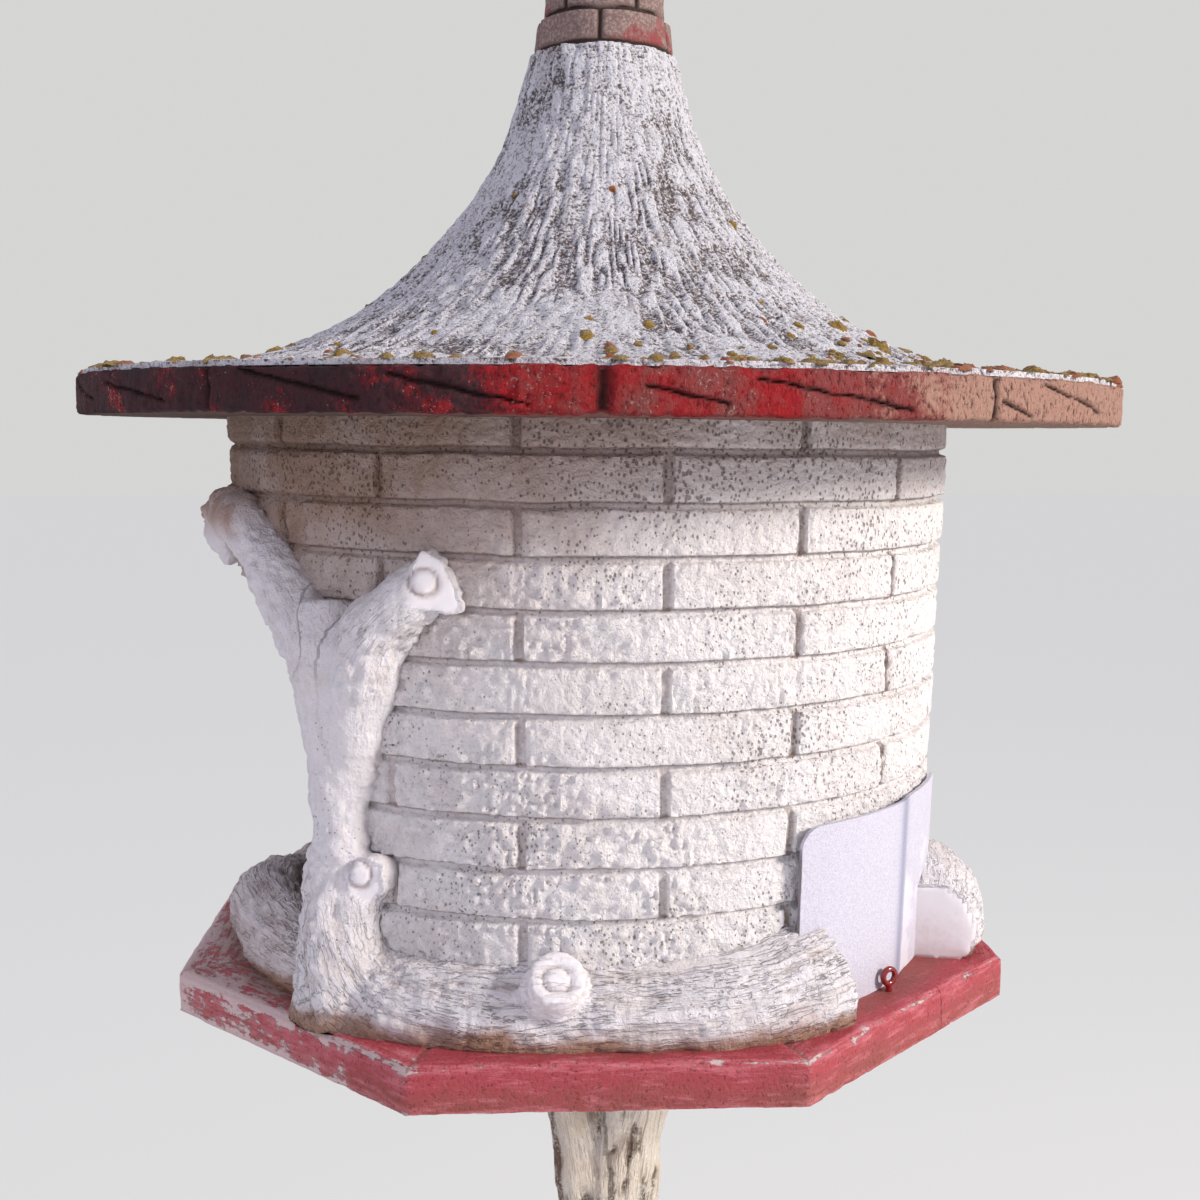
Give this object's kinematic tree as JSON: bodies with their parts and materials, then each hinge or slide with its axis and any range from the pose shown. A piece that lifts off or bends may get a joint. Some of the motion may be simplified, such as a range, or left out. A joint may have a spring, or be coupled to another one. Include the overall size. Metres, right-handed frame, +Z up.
{
  "type": "garden bird feeder",
  "caption": "Round cast-concrete bird feeder house with a brick-pattern wall, an arched entrance, a lift-out hatch and a thatch-like roof, on a trunk-shaped post.",
  "frame": {"origin": "on the ground under the middle of the roof", "axes": "+Z up, -Y towards the front, the entrance on the -X side"},
  "size_m": [0.7001, 0.7, 1.622],
  "materials": {
    "bare_cast_trunk": "cast concrete with a bark texture, weathered",
    "red_painted_slab": "cast concrete, worn red paint",
    "white_painted_brick": "cast concrete in a brick pattern, chalky white paint",
    "white_painted_bark": "cast concrete with a bark texture, chalky white paint",
    "painted_sheet_steel": "sheet steel, matt pale grey paint",
    "red_painted_steel": "steel wire, glossy red paint",
    "red_painted_eave": "cast concrete, weathered red paint",
    "weathered_cast_thatch": "cast concrete, grooved like thatch, lichen and moss",
    "chimney_brick": "cast concrete bricks with traces of red paint"
  },
  "bodies": {
    "house": {"root_foot": "bare_cast_trunk", "post_trunk": "bare_cast_trunk", "post_limb": "bare_cast_trunk", "base_plate": "red_painted_slab", "wall_front_left": "white_painted_brick", "wall_front_right": "white_painted_brick", "wall_over_hatch": "white_painted_brick", "wall_right": "white_painted_brick", "wall_back_right": "white_painted_brick", "wall_back_left": "white_painted_brick", "wall_left": "white_painted_brick", "entrance_arch": "white_painted_brick", "trunk_front": "white_painted_bark", "trunk_rear": "white_painted_bark", "upper_branch_front": "white_painted_bark", "upper_branch_rear": "white_painted_bark", "sawn_branch_front": "white_painted_bark", "sawn_branch_rear": "white_painted_bark", "trunk_stub_front": "white_painted_bark", "trunk_stub_rear": "white_painted_bark", "crown_stub": "white_painted_bark", "sill_log": "white_painted_bark", "front_log": "white_painted_bark", "back_log_right": "white_painted_bark", "back_log_left": "white_painted_bark", "log_stub": "white_painted_bark", "hatch_eye": "red_painted_steel", "eave_board_1": "red_painted_eave", "eave_board_2": "red_painted_eave", "eave_board_3": "red_painted_eave", "eave_board_4": "red_painted_eave", "eave_board_5": "red_painted_eave", "eave_board_6": "red_painted_eave", "eave_board_7": "red_painted_eave", "eave_board_8": "red_painted_eave", "eave_board_9": "red_painted_eave", "eave_board_10": "red_painted_eave", "roof_thatch": "weathered_cast_thatch", "chimney_course_1": "chimney_brick", "chimney_course_2": "chimney_brick", "chimney_course_3": "chimney_brick", "chimney_course_4": "chimney_brick", "chimney_course_5": "chimney_brick"},
    "hatch": {"hatch_plate": "painted_sheet_steel"}
  },
  "joints": [
    {"name": "hatch_lift", "type": "slide", "parent": "house", "child": "hatch", "axis": [0.0282, -0.0197, 0.9994], "range_m": [0, 0.11]}
  ]
}
